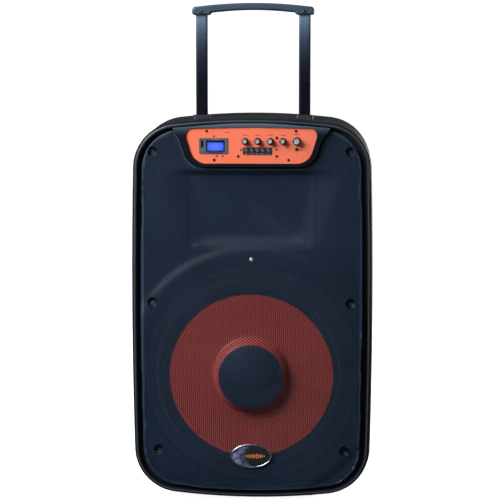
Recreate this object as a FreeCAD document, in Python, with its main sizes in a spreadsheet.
import FreeCAD, Part
import math
import os

import Sketcher
from FreeCAD import Placement, Rotation, Vector

# A portable party speaker on a trolley handle. Millimetres, +Z up, +X to the right of
# someone facing it, front towards -Y. The origin is on the floor, under the middle of the
# whole speaker.

SIZES = (
    # the cabinet's outline, seen from the front
    ("body_width", 432, "widest part of the cabinet"),
    ("body_bottom", 6, "lowest point of the crowned underside"),
    ("body_top", 697, "highest point of the crowned top"),
    ("side_radius", 10000, "bow of the sides"),
    ("crown_radius", 1230, "crown of the top and the underside"),
    ("corner_radius", 83, "round corners of the cabinet"),
    ("wall", 4, "moulded wall"),
    # depths, from the front backwards
    ("boss_front", -187, "top of the dome in the middle of the grille"),
    ("rim_front", -163, "crest of the bead round the front"),
    ("rim_root", -158, "foot of the bead"),
    ("grille_front", -159, "flat part of the grille"),
    ("grille_seat", -150, "ledge that the grille rests on"),
    ("baffle_front", -136, "front of the baffle"),
    ("baffle_back", -132, "back of the baffle"),
    ("seam_depth", -118, "joint between the two shells"),
    ("rear_face", 172, "flat of the back"),
    # the front rim
    ("rim_top", 690.3, "top of the rim"),
    ("bead_inset", 2.2, "outline to bead"),
    ("bead_width", 5.5, "bead across"),
    ("ledge_width", 14, "grille ledge"),
    # the grille
    ("grille_half_width", 198.6, "half the grille's width"),
    ("grille_top", 677, "top edge of the grille"),
    ("grille_bottom", 19.8, "bottom edge of the grille"),
    ("grille_corner", 70, "corner radius of the grille"),
    ("sheet_gauge", 1.5, "thickness of the grille's sheet"),
    ("bulge_rise", 4, "how far the grille swells over the woofer"),
    ("bulge_radius", 222, "flat top of the swell"),
    ("bulge_foot", 235, "foot of the swell"),
    ("recess_depth", 8, "hollow in front of the horn"),
    ("boss_foot_radius", 69, "foot of the grille's dome"),
    ("boss_radius", 60.5, "shoulder of the grille's dome"),
    ("cup_radius", 7, "inside of a screw cup"),
    # the drivers
    ("woofer_height", 231.3, "axis of the woofer"),
    ("woofer_radius", 193, "outside of the basket's flange"),
    ("woofer_hole", 178, "radius of the baffle's woofer hole"),
    ("magnet_radius", 78, "woofer's magnet"),
    ("coil_radius", 38.9, "outside of the voice coil"),
    ("horn_height", 527, "axis of the horn"),
    ("driver_radius", 44, "compression driver"),
    # the control panel
    ("plate_front", -163.5, "face of the control plate"),
    ("plate_gauge", 2.5, "thickness of the control plate"),
    ("bezel_front", -166, "face of the bezel round the plate"),
    ("board_front", -147, "face of the control board"),
    ("knob_height", 650, "row of knobs"),
    ("knob_pitch", 22.35, "from knob to knob"),
    ("first_knob", -11.2, "leftmost knob"),
    ("knob_radius", 6.2, "small knob"),
    ("master_radius", 7.5, "large knob"),
    ("knob_gap", 1, "plate to knob"),
    ("shaft_radius", 2.92, "knob's shaft"),
    ("shaft_bore", 3, "bore of the control that the shaft turns in"),
    ("button_height", 634.2, "row of buttons"),
    ("button_middle", 10.6, "middle button"),
    ("button_pitch", 9.9, "from button to button"),
    ("button_radius", 3.4, "push-button"),
    ("module_middle", -67, "middle of the media module"),
    ("module_height", 641.5, "middle of the media module"),
    # the handle
    ("tube_spacing", 185, "between the handle's tubes"),
    ("tube_depth", -98, "middle of the tubes"),
    ("tube_width", 21, "tube, side to side"),
    ("tube_thickness", 14, "tube, front to back"),
    ("tube_wall", 1.5, "tube's wall"),
    ("tube_bottom", 624, "lower end of the tubes, handle drawn out"),
    ("tube_top", 884, "upper end of the tubes, handle drawn out"),
    ("slide_gap", 0.3, "tube to guide"),
    ("guide_bottom", 440, "lower end of the guides"),
    ("collar_bottom", 686, "underside of the collars"),
    ("collar_top", 695, "top of the collars"),
    ("grip_half_length", 109.3, "half the grip's length"),
    ("grip_top", 894.3, "middle of the grip, handle drawn out"),
    ("grip_depth", 25, "grip, front to back"),
    # the wheels, feet and pole socket
    ("wheel_radius", 38, "wheel"),
    ("wheel_width", 26, "wheel's tread"),
    ("wheel_inside", 153, "middle of the speaker to the wheel's inner face"),
    ("axle_depth", 149, "axle, behind the middle"),
    ("axle_height", 44, "axle above the floor"),
    ("axle_radius", 5, "steel axle"),
    ("axle_bore", 5.08, "wheel's bore"),
    ("foot_radius", 17, "rubber foot"),
    ("foot_height", 8, "rubber foot"),
    ("foot_side", 100, "middle of the speaker to a foot"),
    ("front_feet", -98, "front pair of feet"),
    ("rear_feet", 80, "rear pair of feet"),
    ("pole_depth", 12, "pole socket behind the middle"),
    ("pole_bore", 17.9, "socket for a 35 mm pole"),
    ("pole_bore_top", 88, "closed end of the socket"),
    ("pole_flange_bottom", 3, "underside of the socket's flange"),
    # the rear connections
    ("power_height", 300, "middle of the power plate"),
    ("power_gauge", 3, "power plate"),
    ("inlet_side", -48, "mains inlet"),
    ("switch_side", 8, "power switch"),
    ("socket_side", 40, "charging socket"),
    ("rocker_tilt", 8, "rocker's lean each way, in degrees"),
)

GRILLE_SCREWS = ((176, 631), (176.8, 361), (167, 93.6))  # to the right; the left mirrors them
CENTRE_SCREW = (0, 440)
DOME_RISE = 7  # from the dome's shoulder to its top
PLATE_SCREWS = ((-79, 668), (79, 668), (-66, 617), (66, 617), (-23.3, 623.6), (45, 623.6), (45, 656))
SHELL_SCREWS = ((165, 112), (165, 350), (165, 500), (150, 640))  # and their mirror images

doc = FreeCAD.newDocument("PartySpeaker")
sheet = doc.addObject("Spreadsheet::Sheet", "Sizes")
nodes = []


class Size(float):
    """A length that remembers the sheet expression it comes from, so that the same value
    can be drawn with and bound to a property."""

    def __new__(cls, number, text=None):
        made = super().__new__(cls, number)
        made.text = text or f"({float(number)})"
        return made


def arithmetic(sign, work):
    """The two methods that join a Size to what stands right or left of a sign."""

    def forward(left, right):
        right = right if isinstance(right, Size) else Size(right)
        return Size(work(float(left), float(right)), f"({left.text} {sign} {right.text})")

    def backward(right, left):
        return forward(Size(left), right)

    return forward, backward


Size.__add__, Size.__radd__ = arithmetic("+", float.__add__)
Size.__sub__, Size.__rsub__ = arithmetic("-", float.__sub__)
Size.__mul__, Size.__rmul__ = arithmetic("*", float.__mul__)
Size.__truediv__, Size.__rtruediv__ = arithmetic("/", float.__truediv__)
Size.__neg__ = lambda size: 0 - size


class Sheet:
    """Every size, as an attribute under its alias."""


def fill_sheet():
    """Writes the sizes into the sheet, one row each, and returns them as Size values."""
    sizes = Sheet()
    for row, (alias, number, note) in enumerate(SIZES, 1):
        sheet.set(f"A{row}", alias)
        sheet.set(f"B{row}", str(number))
        sheet.setAlias(f"B{row}", alias)
        sheet.set(f"C{row}", note)
        setattr(sizes, alias, Size(number, f"Sizes.{alias}"))
    return sizes


s = fill_sheet()
doc.recompute()


# ---------------------------------------------------------------- placing and primitives

TURN = {
    "X": Rotation(Vector(0, 1, 0), 90),
    "Y": Rotation(Vector(1, 0, 0), -90),
    "Z": Rotation(),
}


def bind(item, **values):
    """Sets each property, by expression where the value comes from the sheet."""
    for name, value in values.items():
        path = name.replace("__", ".")
        if isinstance(value, Size) and "Sizes." in value.text:
            item.setExpression(path, value.text)
        elif "." not in path:
            setattr(item, path, value)


def placed(item, at, axis="Z"):
    """Puts an item's origin at a point, with its own Z along an axis."""
    item.Placement = Placement(Vector(*at), TURN[axis])
    bind(item, Placement__Base__x=at[0], Placement__Base__y=at[1], Placement__Base__z=at[2])
    return item


def cylinder(label, radius, length, at, axis="Y"):
    item = doc.addObject("Part::Cylinder", label)
    bind(item, Radius=radius, Height=length)
    return placed(item, at, axis)


def cone(label, start_radius, end_radius, length, at, axis="Y"):
    item = doc.addObject("Part::Cone", label)
    bind(item, Radius1=start_radius, Radius2=end_radius, Height=length)
    return placed(item, at, axis)


def box(label, low, high):
    """A box between two corners."""
    item = doc.addObject("Part::Box", label)
    bind(item, Length=high[0] - low[0], Width=high[1] - low[1], Height=high[2] - low[2])
    return placed(item, low)


def centred_box(label, middle, size):
    low = [m - d / 2 for m, d in zip(middle, size)]
    high = [m + d / 2 for m, d in zip(middle, size)]
    return box(label, low, high)


def fused(label, items):
    item = doc.addObject("Part::MultiFuse", label)
    item.Shapes = items
    return item


def grouped(label, items):
    """Separate solids kept side by side in one object."""
    item = doc.addObject("Part::Compound", label)
    item.Links = items
    return item


def cut(label, base, tools):
    item = doc.addObject("Part::Cut", label)
    item.Base = base
    item.Tool = tools[0] if len(tools) == 1 else grouped(label + "_tools", tools)
    return item


def common(label, first, second):
    item = doc.addObject("Part::Common", label)
    item.Base = first
    item.Tool = second
    return item


def node(item, label):
    """Marks an object as a finished sub-part."""
    item.Label = label
    nodes.append(item)
    return item


# ---------------------------------------------------------------- sketched bodies


def sketch_on(body, role, label, offset):
    """A sketch on one of the body's own origin planes, moved by an offset in its frame."""
    sketch = body.newObject("Sketcher::SketchObject", label)
    plane = next(item for item in body.Origin.OriginFeatures if item.Role == role)
    sketch.AttachmentSupport = [(plane, "")]
    sketch.MapMode = "FlatFace"
    sketch.AttachmentOffset = Placement(Vector(*offset), Rotation())
    for letter, value in zip("xyz", offset):
        bind(sketch, **{f"AttachmentOffset__Base__{letter}": value})
    return sketch


def front_sketch(body, label, depth):
    """A sketch seen from the front, X across and Z up, at a depth."""
    return sketch_on(body, "XZ_Plane", label, (0, 0, -depth))


def close_loop(sketch, pieces):
    """Adds curves that follow one another round a loop, and joins the ends that meet."""
    first = sketch.GeometryCount
    sketch.addGeometry(pieces, False)
    for number in range(len(pieces)):
        here, after = first + number, first + (number + 1) % len(pieces)
        end, start = min(
            ((a, b) for a in (1, 2) for b in (1, 2)),
            key=lambda ends: (sketch.getPoint(here, ends[0]) - sketch.getPoint(after, ends[1])).Length,
        )
        sketch.addConstraint(Sketcher.Constraint("Coincident", here, end, after, start))


def outline(sketch, half_width, top, bottom, corner):
    """The cabinet's outline: bowed sides, crowned top and underside, round corners."""
    middle, half = (top + bottom) / 2, (top - bottom) / 2
    side = Vector(half_width - s.side_radius, 0, 0)
    crown = Vector(0, half - s.crown_radius, 0)
    between = crown - side
    to_side, to_crown = s.side_radius - corner, s.crown_radius - corner
    along = (to_side**2 - to_crown**2 + between.Length**2) / (2 * between.Length)
    unit = between / between.Length
    upward = Vector(-unit.y, unit.x, 0)
    centre = side + unit * along + upward * math.sqrt(to_side**2 - along**2)
    out_side = (centre - side).normalize()
    out_crown = (centre - crown).normalize()
    out_middle = (out_side + out_crown).normalize()
    corners = []
    for across, up in ((1, 1), (-1, 1), (-1, -1), (1, -1)):
        reach = [centre + out * corner for out in (out_side, out_middle, out_crown)]
        points = [Vector(across * p.x, middle + up * p.y, 0) for p in reach]
        corners.append(points if across == up else points[::-1])
    ends = (
        Vector(0, top, 0),
        Vector(-half_width, middle, 0),
        Vector(0, bottom, 0),
        Vector(half_width, middle, 0),
    )
    pieces = []
    for number, (points, end) in enumerate(zip(corners, ends)):
        following = corners[(number + 1) % 4]
        pieces.append(Part.Arc(*points))
        pieces.append(Part.Arc(points[-1], end, following[0]))
    close_loop(sketch, pieces)


def rounded_polygon(sketch, corners):
    """Straight sides between corners given as (x, z, radius)."""
    rounds = []
    for number, (x, z, radius) in enumerate(corners):
        here = Vector(x, z, 0)
        before = Vector(*corners[number - 1][:2], 0)
        after = Vector(*corners[(number + 1) % len(corners)][:2], 0)
        back, forth = (before - here).normalize(), (after - here).normalize()
        half = back.getAngle(forth) / 2
        reach = radius / math.tan(half)
        bisector = (back + forth).normalize()
        middle = here + bisector * (radius / math.sin(half) - radius)
        rounds.append((here + back * reach, middle, here + forth * reach))
    pieces = []
    for number, (first, middle, last) in enumerate(rounds):
        pieces.append(Part.Arc(first, middle, last))
        pieces.append(Part.LineSegment(last, rounds[(number + 1) % len(rounds)][0]))
    close_loop(sketch, pieces)


def rounded_rectangle(sketch, width, height, corner, x=0, z=0):
    right, top = width / 2, height / 2
    rounded_polygon(
        sketch,
        [
            (x + right, z - top, corner),
            (x + right, z + top, corner),
            (x - right, z + top, corner),
            (x - right, z - top, corner),
        ],
    )


def circle(sketch, radius, x=0, z=0):
    """A circle held to its radius."""
    number = sketch.addGeometry(Part.Circle(Vector(x, z, 0), Vector(0, 0, 1), radius), False)
    held = sketch.addConstraint(Sketcher.Constraint("Radius", number, radius))
    bind(sketch, **{f"Constraints[{held}]": radius})


def ellipse(sketch, half_width, half_height, x, z):
    middle = Vector(x, z, 0)
    wide, high = middle + Vector(half_width, 0, 0), middle + Vector(0, half_height, 0)
    sketch.addGeometry(Part.Ellipse(wide, high, middle), False)


def padded(label, front, back, draw, *shape):
    """A body with one outline, padded from one depth to another."""
    body = doc.addObject("PartDesign::Body", label)
    sketch = front_sketch(body, label + "_outline", back)
    draw(sketch, *shape)
    pad = body.newObject("PartDesign::Pad", label + "_pad")
    pad.Profile = sketch
    bind(pad, Length=back - front)
    body.Tip = pad
    return body


def lofted(label, draw, sections):
    """A body lofted through outlines, each given as its depth and then its shape."""
    body = doc.addObject("PartDesign::Body", label)
    sketches = []
    for number, (depth, *shape) in enumerate(sections):
        sketch = front_sketch(body, f"{label}_section_{number}", depth)
        draw(sketch, *shape)
        sketches.append(sketch)
    loft = body.newObject("PartDesign::AdditiveLoft", label + "_loft")
    loft.Profile = sketches[0]
    loft.Sections = sketches[1:]
    body.Tip = loft
    return body


def turned(label, profile, plane="YZ_Plane", offset=(0, 0, 0)):
    """A body turned about its sketch's own first axis. The profile's points are (along the
    axis, radius), and a pair of points is an arc through the first to the second."""
    body = doc.addObject("PartDesign::Body", label)
    sketch = sketch_on(body, plane, label + "_profile", offset)
    here = profile[0]
    pieces = []
    for step in profile[1:] + profile[:1]:
        if isinstance(step[0], tuple):
            through, end = step
            pieces.append(Part.Arc(Vector(*here, 0), Vector(*through, 0), Vector(*end, 0)))
        else:
            end = step
            pieces.append(Part.LineSegment(Vector(*here, 0), Vector(*end, 0)))
        here = end
    close_loop(sketch, pieces)
    turn = body.newObject("PartDesign::Revolution", label + "_turn")
    turn.Profile = sketch
    turn.ReferenceAxis = (sketch, ["H_Axis"])
    turn.Angle = 360
    body.Tip = turn
    return body


def about_woofer(label, profile):
    return turned(label, profile, "YZ_Plane", (0, s.woofer_height, 0))


def both_sides(points):
    """Each point and its mirror image."""
    return [(side * x, z) for x, z in points for side in (-1, 1)]


def ring(label, outside, inside, length, at, axis="Y"):
    tube = cylinder(label + "_outside", outside, length, at, axis)
    return cut(label, tube, [cylinder(label + "_inside", inside, length, at, axis)])


def screw(label, x, z, head_front, head_radius, head_length, shank_radius, shank_length):
    """A screw driven backwards, with a cross in its head."""
    head = cylinder(label + "_head", head_radius, head_length, (x, head_front, z))
    shank = cylinder(label + "_shank", shank_radius, shank_length, (x, head_front + head_length, z))
    slots = [
        centred_box(f"{label}_slot_{wide}", (x, head_front, z), (wide, head_length, high))
        for wide, high in ((head_radius, 0.8), (0.8, head_radius))
    ]
    return cut(label, fused(label + "_blank", [head, shank]), slots)


# ---------------------------------------------------------------- the cabinet's two shells


def rim_outline(inset):
    """The front rim's outline, drawn in by an inset."""
    return (
        s.body_width / 2 - 1.6 - inset,
        s.rim_top - inset,
        s.body_bottom + 1.2 + inset,
        s.corner_radius - 1.5 - inset,
    )


def shell_outline(narrower, lower, higher, tighter, inset=0):
    """The cabinet's widest outline, reduced on its sides, top, underside and corners."""
    return (
        s.body_width / 2 - narrower - inset,
        s.body_top - lower - inset,
        s.body_bottom + higher + inset,
        s.corner_radius - tighter - inset,
    )


SEAM = (0, 5.8, 0, 0)
REAR_SECTIONS = (
    (s.seam_depth, SEAM),
    (Size(-60), (0, 2.2, 0, 0)),
    (Size(-15), (0.6, 0, 0.2, 0.5)),
    (Size(60), (4.5, 4, 1.6, 2)),
    (Size(130), (12, 15, 6, 4)),
    (s.rear_face - 10, (20, 28, 14, 7.5)),
)


def front_frame():
    outside = lofted(
        "front_frame_outside",
        outline,
        [
            (s.rim_root, *rim_outline(0)),
            (Size(-150), *shell_outline(0.5, 6.2, 0.3, 0.5)),
            (s.seam_depth, *shell_outline(*SEAM)),
        ],
    )
    bead = padded(
        "front_frame_bead", s.rim_front, s.rim_root, outline, *rim_outline(s.bead_inset)
    )
    round_bead = body_fillet(bead, "front_frame_bead_round", 2.2, s.rim_front)
    inner = s.bead_inset + s.bead_width
    ledge = (
        s.body_width / 2 - 22.2,
        s.rim_top - inner - s.ledge_width,
        s.body_bottom + 23,
        s.corner_radius - 22.2,
    )
    front_hollow = padded(
        "front_hollow", s.rim_front - 1, s.grille_seat, outline, *rim_outline(inner)
    )
    deep_hollow = padded("deep_hollow", s.grille_seat - 1, s.baffle_front, outline, *ledge)
    rear_hollow = padded(
        "rear_hollow", s.baffle_back, s.seam_depth + 1, outline, *shell_outline(*SEAM, s.wall)
    )
    blank = cut(
        "front_frame_blank",
        fused("front_frame_solid", [outside, round_bead]),
        [front_hollow, deep_hollow, rear_hollow],
    )
    shelf = box("panel_shelf", (-128, s.grille_seat, 602), (128, s.baffle_front, 676))
    seat_depth = s.baffle_front - s.grille_seat
    bosses = [
        cylinder(f"grille_post_{n}", 6, seat_depth, (x, s.grille_seat, z))
        for n, (x, z) in enumerate(both_sides(GRILLE_SCREWS))
    ]
    centre_front = s.rim_front + s.sheet_gauge
    bosses.append(
        cylinder("centre_post", 4.5, s.baffle_front - centre_front, (0, centre_front, CENTRE_SCREW[1]))
    )
    bosses += [
        cylinder(f"shell_boss_{n}", 6, s.seam_depth - s.baffle_back, (x, s.baffle_back, z))
        for n, (x, z) in enumerate(both_sides(SHELL_SCREWS))
    ]
    through = s.baffle_back - s.baffle_front + 2
    baffle_middle = (s.baffle_front + s.baffle_back) / 2
    tools = [
        cylinder("woofer_opening", s.woofer_hole, through, (0, s.baffle_front - 1, s.woofer_height)),
        centred_box("horn_opening", (0, baffle_middle, s.horn_height), (197, 6, 131)),
        box("panel_opening", (-108, s.grille_seat - 1, 613), (108, s.baffle_back + 1, 669)),
    ]
    tools += [
        cylinder(f"grille_pilot_{n}", 1.6, 13.5, (x, s.grille_seat, z))
        for n, (x, z) in enumerate(both_sides(GRILLE_SCREWS))
    ]
    tools.append(cylinder("centre_pilot", 1.6, 14, (0, s.rim_front, CENTRE_SCREW[1])))
    tools += [
        cylinder(f"woofer_pilot_{n}", 2.1, through, (x, s.baffle_front - 1, z))
        for n, (x, z) in enumerate(woofer_screw_places())
    ]
    tools += [
        cylinder(f"horn_pilot_{n}", 1.9, through, (x, s.baffle_front - 1, z))
        for n, (x, z) in enumerate(horn_screw_places())
    ]
    tools += [
        cylinder(f"shell_pilot_{n}", 2.1, 13, (x, s.seam_depth - 13, z))
        for n, (x, z) in enumerate(both_sides(SHELL_SCREWS))
    ]
    whole = fused("front_frame_whole", [blank, shelf, *bosses])
    node(cut("front_frame", whole, tools), "front_frame")


def body_fillet(body, label, radius, depth):
    """Rounds the edges of a body that lie flat at one depth."""
    doc.recompute()
    edges = [
        f"Edge{n}"
        for n, edge in enumerate(body.Shape.Edges, 1)
        if abs(edge.BoundBox.YMin - depth) < 0.01 and abs(edge.BoundBox.YMax - depth) < 0.01
    ]
    base = body.Tip
    fillet = body.newObject("PartDesign::Fillet", label)
    fillet.Base = (base, edges)
    fillet.Radius = radius
    body.Tip = fillet
    return body


def woofer_screw_places():
    angles = [math.radians(22.5 + 45 * n) for n in range(8)]
    reach = s.woofer_radius - 4.5
    return [(reach * math.cos(a), s.woofer_height + reach * math.sin(a)) for a in angles]


def horn_screw_places():
    return [(x, s.horn_height + z) for x in (-103, 103) for z in (-66, 66)]


def rear_cabinet():
    sides = lofted(
        "rear_sides", outline, [(depth, *shell_outline(*shape)) for depth, shape in REAR_SECTIONS]
    )
    last_depth, last_shape = REAR_SECTIONS[-1]
    back = lofted(
        "rear_back",
        outline,
        [
            (depth, *shell_outline(*last_shape, inset))
            for depth, inset in ((last_depth, 0), (s.rear_face - 3, 3), (s.rear_face, 9))
        ],
    )
    outside = fused("rear_outside", [sides, back])
    inner_sections = [(depth, *shell_outline(*shape, s.wall)) for depth, shape in REAR_SECTIONS]
    inner_sections[0] = (s.seam_depth - 1, *inner_sections[0][1:])
    inside_sides = lofted("rear_inside_sides", outline, inner_sections)
    inside_back = lofted(
        "rear_inside_back",
        outline,
        [
            (last_depth - 0.5, *shell_outline(*last_shape, s.wall + 0.5)),
            (s.rear_face - s.wall, *shell_outline(*last_shape, s.wall + 6)),
        ],
    )
    wells, spaces, axle_holes = [], [], []
    for name, side in (("left", -1), ("right", 1)):
        reach = sorted((side * 144, side * 230))
        wells.append(box(f"{name}_well", (reach[0], 101, -5), (reach[1], 190, 92)))
        reach = sorted((side * 148.5, side * 235))
        spaces.append(box(f"{name}_well_space", (reach[0], 105.5, -10), (reach[1], 195, 87.5)))
    axle_holes.append(
        cylinder("axle_hole", s.axle_radius + 0.15, 320, (-160, s.axle_depth, s.axle_height), "X")
    )
    tube_x = s.tube_spacing / 2
    guide_blocks = [
        centred_box(f"guide_block_{n}", (side * tube_x, s.tube_depth, 680), (36, 36, 40))
        for n, side in enumerate((-1, 1))
    ]
    foot_posts = [
        cylinder(f"foot_post_{n}", s.foot_radius + 2, 13, (x, y, s.foot_height), "Z")
        for n, (x, y) in enumerate(feet_places())
    ]
    shell_posts = [
        cylinder(f"shell_post_{n}", 7, s.rear_face - s.seam_depth - 2, (x, s.seam_depth, z))
        for n, (x, z) in enumerate(both_sides(SHELL_SCREWS))
    ]
    within = common(
        "rear_fittings",
        outside,
        fused("rear_fittings_loose", [*wells, *guide_blocks, *shell_posts]),
    )
    shell = cut("rear_shell", outside, [inside_sides, inside_back])
    whole = fused("rear_whole", [shell, within, *foot_posts])
    tools = [*spaces, *axle_holes]
    for n, side in enumerate((-1, 1)):
        x = side * tube_x
        gap, wall = s.slide_gap * 2, 2 * s.tube_wall
        sleeve = (s.tube_width + gap + wall + 1.2, s.tube_thickness + gap + wall + 1.2)
        tools.append(centred_box(f"sleeve_hole_{n}", (x, s.tube_depth, 670), (*sleeve, 60)))
        collar = (COLLAR_WIDTH + 0.4, COLLAR_THICKNESS + 0.4)
        low, high = s.collar_bottom, s.collar_bottom + 30
        tools.append(
            centred_box(f"collar_pocket_{n}", (x, s.tube_depth, (low + high) / 2), (*collar, 30))
        )
    for n, (x, z) in enumerate(both_sides(SHELL_SCREWS)):
        tools.append(cylinder(f"shell_well_{n}", 4.6, 290, (x, s.seam_depth + 14, z)))
        tools.append(cylinder(f"shell_hole_{n}", 2.2, 20, (x, s.seam_depth - 1, z)))
    for n, (x, y) in enumerate(feet_places()):
        tools.append(cylinder(f"foot_pilot_{n}", 1.9, 11, (x, y, s.foot_height - 1), "Z"))
    tools.append(box("power_opening", (-72, 155, 265), (72, 190, 335)))
    tools.append(cylinder("pole_opening", 22.6, 20, (0, s.pole_depth, -1), "Z"))
    for n, (x, z) in enumerate(power_screw_places()):
        tools.append(cylinder(f"power_pilot_{n}", 1.6, 12, (x, 162, z)))
    node(cut("rear_cabinet", whole, tools), "rear_cabinet")


def feet_places():
    return [(side * s.foot_side, y) for side in (-1, 1) for y in (s.front_feet, s.rear_feet)]


def power_screw_places():
    return [(x, s.power_height + z) for x in (-76, 76) for z in (-37, 37)]


def shell_screws():
    screws = []
    for n, (x, z) in enumerate(both_sides(SHELL_SCREWS)):
        head = cylinder(f"shell_screw_head_{n}", 3.8, 3, (x, s.seam_depth + 14, z))
        shank = cylinder(f"shell_screw_shank_{n}", 2, 26, (x, s.seam_depth - 12, z))
        screws.append(fused(f"shell_screw_{n}", [head, shank]))
    node(grouped("cabinet_screws", screws), "cabinet_screws")


# ---------------------------------------------------------------- the grille


def grille_outline(inset):
    return (
        s.grille_half_width - inset,
        s.grille_top - inset,
        s.grille_bottom + inset,
        s.grille_corner - inset,
    )


def bezel_corners(grow):
    """The outline round the control panel: crowned top, flared upper corners."""
    side = [
        (109.5 + grow, 604 - grow, 36),
        (124.5 + grow, 650, 30),
        (141 + grow, 673.2 + grow, 2),
    ]
    left = [(-x, z, radius) for x, z, radius in side[::-1]]
    return side + [(0, 684.2 + grow, 900)] + left


def recess_corners(spread, top, bottom):
    return [
        (82 + spread, bottom, 16),
        (111 + 1.25 * spread, top, 16),
        (-111 - 1.25 * spread, top, 16),
        (-82 - spread, bottom, 16),
    ]


def grille_block(inset):
    """The grille's outer form, or with an inset the space behind its sheet."""
    name = f"grille_{'space' if inset else 'form'}"
    front, back = s.grille_front + inset, s.grille_seat + (1 if inset else 0)
    slab = padded(f"{name}_slab", front, back, outline, *grille_outline(inset))
    if not inset:
        slab = body_fillet(slab, "grille_edge", 3, s.grille_front)
    clip = padded(
        f"{name}_clip", s.grille_front - 30, s.grille_front + 2, outline, *grille_outline(2 + inset)
    )
    swell = cone(
        f"{name}_swell",
        s.bulge_radius - inset,
        s.bulge_foot - inset,
        s.bulge_rise,
        (0, s.grille_front - s.bulge_rise + inset, s.woofer_height),
    )
    bulge = common(f"{name}_bulge", swell, clip)
    foot, shoulder = s.boss_foot_radius - inset, s.boss_radius - inset
    base, tip = s.rim_front + 2, s.boss_front + inset
    sphere = (shoulder**2 + DOME_RISE**2) / (2 * DOME_RISE)
    halfway = math.asin(shoulder / sphere) / 2
    crown = (tip + sphere * (1 - math.cos(halfway)), sphere * math.sin(halfway))
    dome = about_woofer(
        f"{name}_dome",
        [(base, 0), (base, foot), (tip + DOME_RISE, shoulder), (crown, (tip, 0))],
    )
    floor = s.grille_front + s.recess_depth + inset
    recess = lofted(
        f"{name}_recess",
        rounded_polygon,
        [
            (s.grille_front - 0.01 - (0 if inset else 1), recess_corners(44 + inset, 597, 460 - inset)),
            (floor, recess_corners(inset, 592 + inset, 480 - inset)),
        ],
    )
    above = fused(f"{name}_above", [slab, bulge])
    hollow = cut(f"{name}_recess_clear", recess, [swell_guard(name, inset)])
    hollowed = cut(f"{name}_hollowed", above, [hollow])
    return fused(f"{name}_whole", [hollowed, dome])


def swell_guard(name, inset):
    """Keeps the hollow in front of the horn off the swell over the woofer."""
    return cylinder(
        f"{name}_guard", s.bulge_foot - 2 - inset, 60, (0, s.grille_front - 30, s.woofer_height)
    )


def speaker_grille():
    form = grille_block(0)
    sheet_form = cut("grille_sheet", form, [grille_block(s.sheet_gauge)])
    before = s.grille_front - 10
    cups, tools = [], []
    for n, (x, z) in enumerate(both_sides(GRILLE_SCREWS)):
        cups.append(cylinder(f"cup_{n}", s.cup_radius + 1.5, s.grille_seat - before, (x, before, z)))
        tools.append(
            cylinder(f"cup_space_{n}", s.cup_radius, s.grille_seat - 1 - before, (x, before, z))
        )
        tools.append(cylinder(f"cup_hole_{n}", 2.2, 30, (x, before, z)))
    x, z = CENTRE_SCREW
    tools.append(cylinder("centre_hole", 2.2, 30, (x, s.grille_front - 20, z)))
    tools.append(
        padded("grille_notch", s.grille_front - 10, s.grille_seat + 5, rounded_polygon, bezel_corners(2))
    )
    cup_walls = common("cup_walls", form, fused("cups", cups))
    node(cut("speaker_grille", fused("grille_with_cups", [sheet_form, cup_walls]), tools), "speaker_grille")


def grille_screws():
    cup_floor = s.grille_seat - 1
    screws = [
        screw(f"grille_screw_{n}", x, z, cup_floor - 2.6, 3.6, 2.6, 1.5, 13)
        for n, (x, z) in enumerate(both_sides(GRILLE_SCREWS))
    ]
    screws.append(screw("centre_screw", *CENTRE_SCREW, s.rim_front - 2, 3.2, 2, 1.5, 13))
    node(grouped("grille_screws", screws), "grille_screws")


# ---------------------------------------------------------------- the control panel

MODULE = (51, 27.8)  # media module, across and up
STRIP = (51.4, 12.8)  # button strip
PLATE_BACK = s.plate_front + s.plate_gauge


def plate_corners(grow):
    side = [(101.5 + grow, 610.4 - grow, 30), (120.5 + grow, 672 + grow, 13)]
    left = [(-x, z, radius) for x, z, radius in side[::-1]]
    return side + [(0, 675.6 + grow, 900)] + left


def plate_openings(front, back, grow, label):
    """Cutters for everything that comes through the control plate."""
    strip_middle = (s.button_middle, s.button_height - 1.5)
    tools = [
        padded(f"{label}_module", front, back, rounded_rectangle, MODULE[0] + grow, MODULE[1] + grow,
               1.5, s.module_middle, s.module_height),
        padded(f"{label}_strip", front, back, rounded_rectangle, STRIP[0] + grow, STRIP[1] + grow,
               2, *strip_middle),
    ]
    tools += [
        cylinder(f"{label}_shaft_{n}", 3.6 + grow, back - front, (x, front, s.knob_height))
        for n, x in enumerate(knob_places())
    ]
    tools.append(cylinder(f"{label}_jack", 3, back - front, (JACK[0], front, JACK[1])))
    return tools


def knob_places():
    """The controls' axes: four small ones and, a little further on, the large one."""
    small = [s.first_knob + n * s.knob_pitch for n in range(4)]
    return small + [small[-1] + s.knob_pitch + 2]


JACK = (knob_places()[-1], 636)


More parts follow.
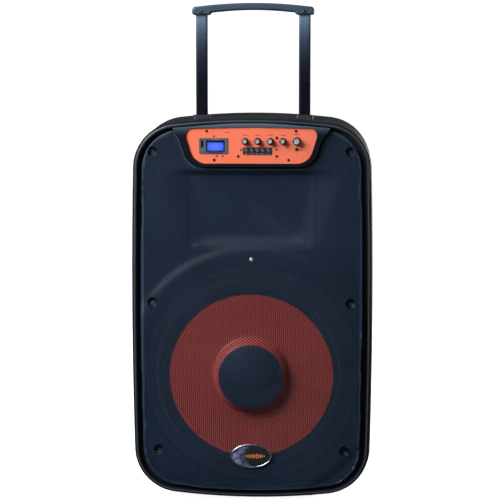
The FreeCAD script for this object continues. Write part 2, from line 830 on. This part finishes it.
def control_panel():
    bezel_back = s.grille_seat
    bezel = padded("bezel_blank", s.bezel_front, bezel_back, rounded_polygon, bezel_corners(0))
    bezel = body_fillet(bezel, "bezel_edge", 1.2, s.bezel_front)
    seat = padded("plate_seat", s.bezel_front - 1, PLATE_BACK, rounded_polygon, plate_corners(0.3))
    opening = padded(
        "bezel_opening", PLATE_BACK - 1, bezel_back + 1, rounded_rectangle, 206, 46, 6, 0, 642
    )
    pilots = [
        cylinder(f"plate_pilot_{n}", 1.2, 9, (x, PLATE_BACK - 0.5, z))
        for n, (x, z) in enumerate(PLATE_SCREWS[:4])
    ]
    node(cut("control_bezel", bezel, [seat, opening, *pilots]), "control_bezel")
    plate = padded("plate_blank", s.plate_front, PLATE_BACK, rounded_polygon, plate_corners(0))
    tools = plate_openings(s.plate_front - 1, PLATE_BACK + 1, 0.3, "plate")
    tools += [
        cylinder(f"plate_hole_{n}", 1.35, 6, (x, s.plate_front - 1, z))
        for n, (x, z) in enumerate(PLATE_SCREWS)
    ]
    node(cut("control_plate", plate, tools), "control_plate")
    screws = [
        screw(f"plate_screw_{n}", x, z, s.plate_front - 1.2, 2.4, 1.2, 1.1, 8 if n < 4 else 4)
        for n, (x, z) in enumerate(PLATE_SCREWS)
    ]
    node(grouped("plate_screws", screws), "control_plate_screws")


def media_module():
    """The player's faceplate, with a display window and openings for a stick and a card."""
    front, x, z = s.plate_front - 1.3, s.module_middle, s.module_height
    face = padded("module_face", front, s.board_front - 4, rounded_rectangle, *MODULE, 1.5, x, z)
    face = body_fillet(face, "module_edge", 0.6, front)
    window = centred_box("display_recess", (x + 3.5, front, z), (33, 3, 20.5))
    stick = centred_box("stick_port", (x - 20, front, z + 3.5), (4.7, 24, 12.4))
    card = centred_box("card_slot", (x + 3.5, front, z - 12), (24, 12, 1.6))
    node(cut("media_module", face, [window, stick, card]), "media_module")
    lens = centred_box("lens_blank", (x + 3.5, front + 0.75, z), (32.6, 1.5, 20.1))
    node(lens, "display_lens")


def button_strip():
    front = s.plate_front - 1
    x, z = s.button_middle, s.button_height - 1.5
    face = padded("strip_face", front, PLATE_BACK + 2, rounded_rectangle, *STRIP, 2, x, z)
    holes = [
        cylinder(f"button_hole_{n}", s.button_radius + 0.3, 12, (bx, front - 1, s.button_height))
        for n, bx in enumerate(button_places())
    ]
    node(cut("button_strip", face, holes), "button_strip")


def button_places():
    return [s.button_middle + (n - 2) * s.button_pitch for n in range(5)]


def aux_jack():
    x, z = JACK
    nut = ring("jack_nut", 3.25, 1.8, 0.9, (x, s.plate_front - 0.9, z))
    barrel = ring("jack_barrel", 2.8, 1.8, 9, (x, s.plate_front, z))
    node(fused("aux_jack", [nut, barrel]), "aux_jack")


def controls_behind():
    """The control board with its switches, and the rotary controls that it carries."""
    front, gauge = s.board_front, 1.6
    board = box("board_sheet", (-100, front, 621), (102, front + gauge, 664))
    switches = []
    plunger_front = s.plate_front + 7
    for n, x in enumerate(button_places()):
        body = centred_box(f"switch_{n}", (x, front - 2, s.button_height), (6, 4, 6))
        plunger = cylinder(
            f"plunger_{n}", 1.7, front - 4 - plunger_front, (x, plunger_front, s.button_height)
        )
        switches += [body, plunger]
    node(fused("control_board", [board, *switches]), "control_board")
    controls = []
    for n, x in enumerate(knob_places()):
        body = centred_box(f"control_{n}", (x, front - 5, s.knob_height), (10.5, 10, 11))
        bush = cylinder(f"bush_{n}", 3.55, 4.5, (x, front - 14.4, s.knob_height))
        bore = cylinder(f"bore_{n}", s.shaft_bore, 13, (x, front - 15, s.knob_height))
        controls.append(cut(f"rotary_{n}", fused(f"rotary_blank_{n}", [body, bush]), [bore]))
    node(grouped("rotary_controls", controls), "rotary_controls")


KNOB_TURN = Rotation(Vector(0, 1, 0), -150)  # every knob points to its lowest setting


def knobs():
    names = ("mic_volume_knob", "echo_knob", "bass_knob", "treble_knob", "master_volume_knob")
    for name, x in zip(names, knob_places()):
        radius = s.master_radius if name == names[-1] else s.knob_radius
        back = s.plate_front - s.knob_gap
        front = back - 10.5
        body = turned(
            name + "_body",
            [
                (s.board_front - 3, 0),
                (s.board_front - 3, s.shaft_radius),
                (back, s.shaft_radius),
                (back, radius),
                (back - 2, radius),
                (back - 3, radius - 0.7),
                (front + 1, radius - 1.1),
                (front, radius - 2),
                (front, 0),
            ],
            "YZ_Plane",
            (0, s.knob_height, x),
        )
        mark = doc.addObject("Part::Box", name + "_mark")
        bind(mark, Length=1, Width=1, Height=radius)
        corner = KNOB_TURN.multVec(Vector(-0.5, -0.5, 0))
        mark.Placement = Placement(Vector(x, front, s.knob_height) + corner, KNOB_TURN)
        node(cut(name, body, [mark]), name)


def buttons():
    names = ("mode_button", "previous_button", "play_button", "next_button", "repeat_button")
    for name, x in zip(names, button_places()):
        front, back = s.plate_front - 2.6, s.plate_front + 5.4
        body = turned(
            name,
            [
                (back, 0),
                (back, s.button_radius),
                (front + 0.8, s.button_radius),
                (front, s.button_radius - 0.8),
                (front, 0),
            ],
            "YZ_Plane",
            (0, s.button_height, x),
        )
        node(body, name)


def badge():
    z, front = 84, s.rim_front - 4
    rim = padded("badge_rim_outside", front, s.rim_front, ellipse, 37.2, 22.1, 0, z)
    rim = body_fillet(rim, "badge_rim_round", 1, front)
    inside = padded("badge_rim_inside", front - 1, s.rim_front + 1, ellipse, 34.4, 19.3, 0, z)
    node(cut("badge_rim", rim, [inside]), "badge_rim")
    plate = padded("badge_plate", front + 1.2, s.rim_front, ellipse, 34.3, 19.2, 0, z)
    node(plate, "badge_plate")


# ---------------------------------------------------------------- woofer and horn

MAGNET_FRONT = Size(-48)


def woofer():
    front, flange = s.baffle_front - 6, s.woofer_radius
    frame = about_woofer(
        "basket_shell",
        [
            (front, flange),
            (s.baffle_front, flange),
            (s.baffle_front, 176.5),
            (-64, 94),
            (MAGNET_FRONT, 94),
            (MAGNET_FRONT, 60),
            (MAGNET_FRONT - 3, 60),
            (MAGNET_FRONT - 3, 91),
            (-65, 91),
            (s.baffle_front - 3, 173.2),
            (front, 173.2),
        ],
    )
    windows = []
    for n in range(6):
        turn = 60 * n
        window = doc.addObject("Part::Box", f"basket_window_{n}")
        bind(window, Length=70, Width=54, Height=60)
        middle = Rotation(Vector(0, 1, 0), turn).multVec(Vector(-35, 0, 102))
        window.Placement = Placement(
            Vector(middle.x, -126, s.woofer_height + middle.z), Rotation(Vector(0, 1, 0), turn)
        )
        windows.append(window)
    pilots = [
        cylinder(f"flange_hole_{n}", 2.1, 10, (x, front - 1, z))
        for n, (x, z) in enumerate(woofer_screw_places())
    ]
    node(cut("woofer_basket", frame, [*windows, *pilots]), "woofer_basket")
    gap_inside, gap_outside = s.coil_radius - 2, s.coil_radius + 0.8
    magnet = about_woofer(
        "woofer_magnet",
        [
            (MAGNET_FRONT, gap_outside),
            (MAGNET_FRONT, s.magnet_radius - 4),
            (-41, s.magnet_radius - 4),
            (-41, s.magnet_radius),
            (-12, s.magnet_radius),
            (-12, s.magnet_radius - 4),
            (-2, s.magnet_radius - 8),
            (-2, 0),
            (MAGNET_FRONT, 0),
            (MAGNET_FRONT, gap_inside),
            (-18, gap_inside),
            (-18, gap_outside),
        ],
    )
    node(magnet, "woofer_magnet")
    woofer_moving_parts(front)


def woofer_moving_parts(front):
    """The cone with its cap, the coil that drives it, and the two rings that hold them."""
    coil = s.coil_radius
    node(
        about_woofer(
            "woofer_cone",
            [
                (front, 156),
                (front, 148),
                (-92, 46),
                ((-107, 26), (-112, 1)),
                (-112, 0),
                (-110.5, 0),
                (-110.5, 1),
                ((-105.6, 25.6), (-90.8, 44.6)),
                (-84, coil + 0.2),
                (-82, coil + 0.2),
                (-89.6, 48),
                (front + 1.4, 149),
                (front + 1.4, 156),
            ],
        ),
        "woofer_cone",
    )
    node(ring("voice_coil", coil, coil - 1.3, 54, (0, -86, s.woofer_height)), "voice_coil")
    node(
        about_woofer(
            "woofer_surround",
            [
                (front - 0.1, 184),
                (front - 1.2, 184),
                (front - 1.2, 174),
                ((front - 9.6, 165), (front - 1.2, 156)),
                (front - 1.2, 148),
                (front - 0.1, 148),
                (front - 0.1, 157.2),
                ((front - 8.5, 165), (front - 0.1, 172.8)),
            ],
        ),
        "woofer_surround",
    )
    corrugated = [(-62, coil + 0.1)]
    for n in range(1, 9):
        corrugated.append((-62 + (1.4 if n % 2 else -1.4), coil + n * 5.4))
    corrugated.append((-62, 90.8))
    behind = [(y + 1, r) for y, r in corrugated[::-1]]
    node(about_woofer("woofer_spider", corrugated + behind), "woofer_spider")


def horn():
    """A moulded flare with its flange on the baffle, and the driver behind it."""
    front, z = s.baffle_front - 4, s.horn_height
    flange = padded("horn_flange", front, s.baffle_front, rounded_rectangle, 220, 147, 12, 0, z)
    throat = Size(-72)
    bell = lofted(
        "horn_bell",
        rounded_rectangle,
        [(s.baffle_front, 195, 129, 12, 0, z), (Size(-105), 108, 84, 14, 0, z), (throat, 50, 50, 16, 0, z)],
    )
    mouth = lofted(
        "horn_mouth",
        rounded_rectangle,
        [(front - 1, 190, 124, 12, 0, z), (Size(-105), 100, 76, 12, 0, z), (throat + 1, 26, 26, 12, 0, z)],
    )
    seat = cylinder("throat_seat", s.driver_radius - 2, 4, (0, throat, z))
    holes = [
        cylinder(f"horn_hole_{n}", 1.9, 8, (x, front - 1, hz))
        for n, (x, hz) in enumerate(horn_screw_places())
    ]
    throat_hole = cylinder("throat_hole", 12.5, 8, (0, throat - 1, z))
    whole = fused("horn_blank", [flange, bell, seat])
    node(cut("horn_flare", whole, [mouth, throat_hole, *holes]), "horn_flare")
    driver = turned(
        "compression_driver",
        [
            (throat + 4, 0),
            (throat + 4, s.driver_radius - 4),
            (throat + 12, s.driver_radius - 4),
            (throat + 14, s.driver_radius),
            (throat + 34, s.driver_radius),
            (throat + 34, s.driver_radius - 6),
            (throat + 40, s.driver_radius - 10),
            (throat + 40, 0),
        ],
        "YZ_Plane",
        (0, z, 0),
    )
    node(driver, "compression_driver")


def driver_screws():
    """Identical screws hold the woofer's flange and the horn's."""
    places = [(x, z, s.baffle_front - 6) for x, z in woofer_screw_places()]
    places += [(x, z, s.baffle_front - 4) for x, z in horn_screw_places()]
    screws = [
        screw(f"driver_screw_{n}", x, z, face - 2.4, 3.4, 2.4, 1.7, 8)
        for n, (x, z, face) in enumerate(places)
    ]
    node(grouped("driver_screws", screws), "driver_screws")


# ---------------------------------------------------------------- the trolley handle

COLLAR_WIDTH, COLLAR_THICKNESS = 31, 23


def rounded_bar(label, width, thickness, corner, low, high, x):
    """An upright bar with rounded corners, seen in plan at the tubes' depth."""
    body = doc.addObject("PartDesign::Body", label)
    sketch = sketch_on(body, "XY_Plane", label + "_plan", (x, s.tube_depth, low))
    rounded_rectangle(sketch, width, thickness, corner)
    pad = body.newObject("PartDesign::Pad", label + "_pad")
    pad.Profile = sketch
    bind(pad, Length=high - low)
    body.Tip = pad
    return body


def guides_and_collars():
    guides, collars = [], []
    gap = 2 * s.slide_gap
    width, thickness = s.tube_width + gap, s.tube_thickness + gap
    grow = 2 * s.tube_wall
    for n, side in enumerate((-1, 1)):
        x = side * s.tube_spacing / 2
        outside = rounded_bar(
            f"guide_outside_{n}", width + grow, thickness + grow, 5, s.guide_bottom, s.collar_bottom, x
        )
        inside = rounded_bar(
            f"guide_inside_{n}", width, thickness, 4.2, s.guide_bottom - 1, s.collar_bottom + 1, x
        )
        guides.append(cut(f"guide_{n}", outside, [inside]))
        rim = rounded_bar(
            f"collar_rim_{n}", COLLAR_WIDTH, COLLAR_THICKNESS, 5, s.collar_bottom, s.collar_top, x
        )
        mouth = rounded_bar(
            f"collar_mouth_{n}", width, thickness, 4.2, s.collar_bottom - 1, s.collar_top + 1, x
        )
        collars.append(cut(f"collar_{n}", rim, [mouth]))
    node(grouped("handle_guides", guides), "handle_guides")
    node(grouped("handle_collars", collars), "handle_collars")


def handle():
    wall = 2 * s.tube_wall
    front, back = s.tube_depth - s.grip_depth / 2, s.tube_depth + s.grip_depth / 2
    glides, grip_tools = [], []
    for n, (name, side) in enumerate((("handle_tube_left", -1), ("handle_tube_right", 1))):
        x = side * s.tube_spacing / 2
        outside = rounded_bar(
            f"{name}_outside", s.tube_width, s.tube_thickness, 4, s.tube_bottom, s.tube_top, x
        )
        inside = rounded_bar(
            f"{name}_inside",
            s.tube_width - wall,
            s.tube_thickness - wall,
            2.5,
            s.tube_bottom - 1,
            s.tube_top + 1,
            x,
        )
        screw_height = s.tube_top - 6
        hole = cylinder(f"{name}_hole", 1.9, 30, (x, s.tube_depth - 15, screw_height))
        node(cut(name, outside, [inside, hole]), name)
        foot = rounded_bar(
            f"glide_foot_{n}", s.tube_width, s.tube_thickness, 4, s.tube_bottom - 6, s.tube_bottom, x
        )
        plug = rounded_bar(
            f"glide_plug_{n}",
            s.tube_width - wall - 0.2,
            s.tube_thickness - wall - 0.2,
            2.4,
            s.tube_bottom,
            s.tube_bottom + 14,
            x,
        )
        glides.append(fused(f"glide_{n}", [foot, plug]))
        grip_tools.append(
            rounded_bar(
                f"grip_pocket_{n}", s.tube_width, s.tube_thickness, 4, s.tube_top - 30, s.tube_top, x
            )
        )
        grip_tools.append(cylinder(f"grip_hole_{n}", 1.9, 22, (x, front - 1, screw_height)))
        grip_tools.append(cylinder(f"grip_recess_{n}", 3.9, 2.5, (x, front - 0.5, screw_height)))
    node(grouped("handle_glides", glides), "handle_glides")
    blank = padded("grip_blank", front, back, grip_profile)
    round_grip = body_fillet(blank, "grip_round_front", 3.5, front)
    round_grip = body_fillet(round_grip, "grip_round_back", 3.5, back)
    node(cut("handle_grip", round_grip, grip_tools), "handle_grip")
    screws = [
        screw(f"grip_screw_{n}", side * s.tube_spacing / 2, s.tube_top - 6, front, 3.6, 2, 1.8, 19)
        for n, side in enumerate((-1, 1))
    ]
    node(grouped("handle_grip_screws", screws), "handle_grip_screws")


def grip_profile(sketch):
    """The grip from the front: arched over the hand, deeper where the tubes go in."""
    half, top = s.grip_half_length, s.grip_top
    inner = half - 31
    right = [
        (half, top - 21, 4),
        (half, top - 7, 6),
        (0, top + 5.1, 796),
    ]
    left = [(-half, top - 7, 6), (-half, top - 21, 4), (-inner, top - 21, 4), (-inner + 4, top - 16.5, 4)]
    under = [(0, top - 9.4, 586), (inner - 4, top - 16.5, 4), (inner, top - 21, 4)]
    rounded_polygon(sketch, right + left + under)


# ---------------------------------------------------------------- wheels, feet, pole socket


def wheels():
    for name, side in (("wheel_left", -1), ("wheel_right", 1)):
        inner = side * s.wheel_inside
        outer = side * (s.wheel_inside + s.wheel_width)
        hub, tread = s.wheel_radius - 9, s.wheel_radius
        body = turned(
            name,
            [
                (inner, s.axle_bore),
                (inner, 14),
                (inner + side * 4, 16),
                (inner + side * 4, hub - 3),
                (inner, hub),
                (inner, tread - 3),
                (inner + side * 3, tread),
                (outer - side * 3, tread),
                (outer, tread - 3),
                (outer, hub),
                (outer - side * 4, hub - 3),
                (outer - side * 4, 16),
                (outer, 14),
                (outer, s.axle_bore),
            ],
            "XZ_Plane",
            (0, s.axle_height, -s.axle_depth),
        )
        node(body, name)
    end = s.wheel_inside + s.wheel_width + 1
    shaft = cylinder("axle_shaft", s.axle_radius, 2 * end, (-end, s.axle_depth, s.axle_height), "X")
    caps = [
        cylinder(f"axle_cap_{n}", 9, 3, (low, s.axle_depth, s.axle_height), "X")
        for n, low in enumerate((-end - 2.5, end - 0.5))
    ]
    node(fused("wheel_axle", [shaft, *caps]), "wheel_axle")


def feet():
    pads, screws = [], []
    for n, (x, y) in enumerate(feet_places()):
        pad = cone(f"foot_{n}", s.foot_radius - 1.5, s.foot_radius, s.foot_height, (x, y, 0), "Z")
        recess = cylinder(f"foot_recess_{n}", 5, 4.5, (x, y, -0.5), "Z")
        hole = cylinder(f"foot_hole_{n}", 2.2, 20, (x, y, -1), "Z")
        pads.append(cut(f"rubber_foot_{n}", pad, [recess, hole]))
        head = cylinder(f"foot_screw_head_{n}", 4, 2.4, (x, y, 1.6), "Z")
        shank = cylinder(f"foot_screw_shank_{n}", 1.8, 12.5, (x, y, 4), "Z")
        screws.append(fused(f"foot_screw_{n}", [head, shank]))
    node(grouped("rubber_feet", pads), "rubber_feet")
    node(grouped("foot_screws", screws), "foot_screws")


def pole_socket():
    y, bottom = s.pole_depth, s.pole_flange_bottom
    flange = cylinder("pole_flange", 34, s.body_bottom - bottom - 0.1, (0, y, bottom), "Z")
    cup = cylinder("pole_cup", 22.2, s.pole_bore_top + 4 - bottom, (0, y, bottom), "Z")
    bore = cylinder("pole_bore_space", s.pole_bore, s.pole_bore_top - bottom + 1, (0, y, bottom - 1), "Z")
    node(cut("pole_socket", fused("pole_blank", [flange, cup]), [bore]), "pole_socket")


# ---------------------------------------------------------------- power and electronics


def power_panel():
    z, face = s.power_height, s.rear_face
    front, back = face, face + s.power_gauge
    plate = padded("power_plate_blank", front, back, rounded_rectangle, 166, 84, 7, 0, z)
    inlet = centred_box("inlet_opening", (s.inlet_side, face, z), (31.2, 30, 22.2))
    switch = centred_box("switch_opening", (s.switch_side, face, z), (19.2, 30, 28.2))
    socket = cylinder("socket_opening", 5.6, 20, (s.socket_side, face - 8, z))
    lamp = cylinder("lamp_opening", 2.6, 20, (s.socket_side + 20, face - 8, z))
    screw_holes = [
        cylinder(f"power_hole_{n}", 1.9, 10, (x, face - 2, sz))
        for n, (x, sz) in enumerate(power_screw_places())
    ]
    node(cut("power_plate", plate, [inlet, switch, socket, lamp, *screw_holes]), "power_plate")
    screws = []
    for n, (x, sz) in enumerate(power_screw_places()):
        head = cylinder(f"power_screw_head_{n}", 3.4, 2, (x, back, sz))
        shank = cylinder(f"power_screw_shank_{n}", 1.5, 11, (x, back - 11, sz))
        screws.append(fused(f"power_screw_{n}", [head, shank]))
    node(grouped("power_plate_screws", screws), "power_plate_screws")
    lens = turned(
        "charge_lamp",
        [
            (face - 4, 0),
            (face - 4, 2.4),
            (back, 2.4),
            ((back + 1.3, 1.7), (back + 1.9, 0.4)),
            (back + 1.9, 0),
        ],
        "YZ_Plane",
        (0, z, s.socket_side + 20),
    )
    node(lens, "charge_lamp")
    inlet_and_socket(z, back)
    power_switch(z, back)


def inlet_and_socket(z, back):
    x = s.inlet_side
    flange = centred_box("inlet_flange", (x, back + 0.75, z), (38, 1.5, 27))
    body = box("inlet_body", (x - 15.5, back - 24, z - 11), (x + 15.5, back, z + 11))
    recess = box("inlet_recess", (x - 12.2, back - 17, z - 8.2), (x + 12.2, back + 4, z + 8.2))
    shell = cut("inlet_shell", fused("inlet_blank", [flange, body]), [recess])
    pins = [
        centred_box(f"inlet_pin_{n}", (x + px, back - 12, z + pz), (2, 11, 4))
        for n, (px, pz) in enumerate(((-7, -1.5), (0, 2), (7, -1.5)))
    ]
    node(fused("mains_inlet", [shell, *pins]), "mains_inlet")
    x = s.socket_side
    rim = cylinder("socket_rim", 7.5, 1.2, (x, back, z))
    barrel = cylinder("socket_barrel", 5.4, 14, (x, back - 14, z))
    bore = cylinder("socket_bore", 2.8, 12, (x, back - 10, z))
    pin = cylinder("socket_pin", 1, 9.5, (x, back - 10.5, z))
    cup = cut("socket_cup", fused("socket_blank", [rim, barrel]), [bore])
    node(fused("charging_socket", [cup, pin]), "charging_socket")


def power_switch(z, back):
    x = s.switch_side
    flange = centred_box("switch_flange", (x, back + 0.75, z), (24, 1.5, 32))
    body = box("switch_body", (x - 9.4, back - 18, z - 14), (x + 9.4, back, z + 14))
    space = box("switch_space", (x - 6.8, back - 12, z - 11.2), (x + 6.8, back + 4, z + 11.2))
    node(
        cut("switch_shell", fused("switch_blank", [flange, body]), [space]), "power_switch_body"
    )
    half, low, high = 9.4, back - 6, back + 1.6
    profile = [(low, -half), (low, half), (high + 1, half), (high - 1, 0), (high + 1, -half)]
    rocker = doc.addObject("PartDesign::Body", "rocker")
    sketch = sketch_on(rocker, "YZ_Plane", "rocker_profile", (0, 0, -6.4))
    pivot = back - 2
    points = [Vector(y - pivot, up, 0) for y, up in profile]
    close_loop(
        sketch,
        [Part.LineSegment(p, points[(n + 1) % len(points)]) for n, p in enumerate(points)],
    )
    pad = rocker.newObject("PartDesign::Pad", "rocker_pad")
    pad.Profile = sketch
    pad.Length = 12.8
    rocker.Tip = pad
    rocker.Placement = Placement(Vector(x, pivot, z), Rotation(Vector(1, 0, 0), -s.rocker_tilt))
    node(rocker, "power_rocker")


def electronics():
    """The boards, heat sink, battery and its tray, placed where the shells leave room."""
    board = box("amp_board_sheet", (-60, 150, 372), (60, 151.6, 462))
    standoffs = [
        cylinder(f"amp_standoff_{n}", 3.5, s.rear_face - s.wall - 151.6, (x, 151.6, z))
        for n, (x, z) in enumerate(((-54, 378), (54, 378), (-54, 456), (54, 456)))
    ]
    cans = [
        cylinder(f"amp_can_{n}", 8, 26, (x, 124, 384)) for n, x in enumerate((-46, -26, 26, 46))
    ]
    node(fused("amplifier_board", [board, *standoffs, *cans]), "amplifier_board")
    base = box("sink_base", (-52, 143, 400), (52, 150, 458))
    fins = [
        box(f"sink_fin_{n}", (x, 112, 400), (x + 2, 143, 458))
        for n, x in enumerate(range(-52, 53, 10))
    ]
    node(fused("heat_sink", [base, *fins]), "heat_sink")
    supply = box("supply_sheet", (-55, 150, 178), (55, 151.6, 252))
    legs = [
        cylinder(f"supply_standoff_{n}", 3.5, s.rear_face - s.wall - 151.6, (x, 151.6, z))
        for n, (x, z) in enumerate(((-49, 184), (49, 184), (-49, 246), (49, 246)))
    ]
    core = box("supply_core", (-20, 112, 196), (22, 150, 236))
    reservoir = cylinder("supply_can", 11, 34, (-38, 116, 216))
    node(fused("power_supply", [supply, *legs, core, reservoir]), "power_supply")
    node(box("battery_case", (-75.5, 60, 24), (75.5, 125, 118)), "battery")
    floor = box("tray_floor", (-82, 56, 21), (82, 129, 24))
    sides = [
        box(f"tray_side_{n}", (low, 56, 24), (low + 2.5, 129, 60)) for n, low in enumerate((-79, 76.5))
    ]
    legs = [cylinder(f"tray_leg_{n}", 5, 9, (x, 66, 12.6), "Z") for n, x in enumerate((-30, 30))]
    node(fused("battery_tray", [floor, *sides, *legs]), "battery_tray")


# ---------------------------------------------------------------- build, check and write


def build():
    front_frame()
    rear_cabinet()
    shell_screws()
    speaker_grille()
    grille_screws()
    control_panel()
    media_module()
    button_strip()
    aux_jack()
    controls_behind()
    knobs()
    buttons()
    badge()
    woofer()
    horn()
    driver_screws()
    guides_and_collars()
    handle()
    wheels()
    feet()
    pole_socket()
    power_panel()
    electronics()
    doc.recompute()


def check():
    """Stops if any object failed to recompute or any sub-part has no valid shape."""
    failed = [item.Name for item in doc.Objects if {"Invalid", "Error"} & set(item.State)]
    bad = [item.Label for item in nodes if item.Shape.isNull() or not item.Shape.isValid()]
    if failed or bad:
        raise SystemExit(f"failed objects {failed}, bad shapes {bad}")


def write():
    os.makedirs("parts", exist_ok=True)
    for item in nodes:
        item.Shape.exportStep(f"parts/{item.Label}.step")
    print(len(nodes), "sub-parts written")


build()
check()
write()
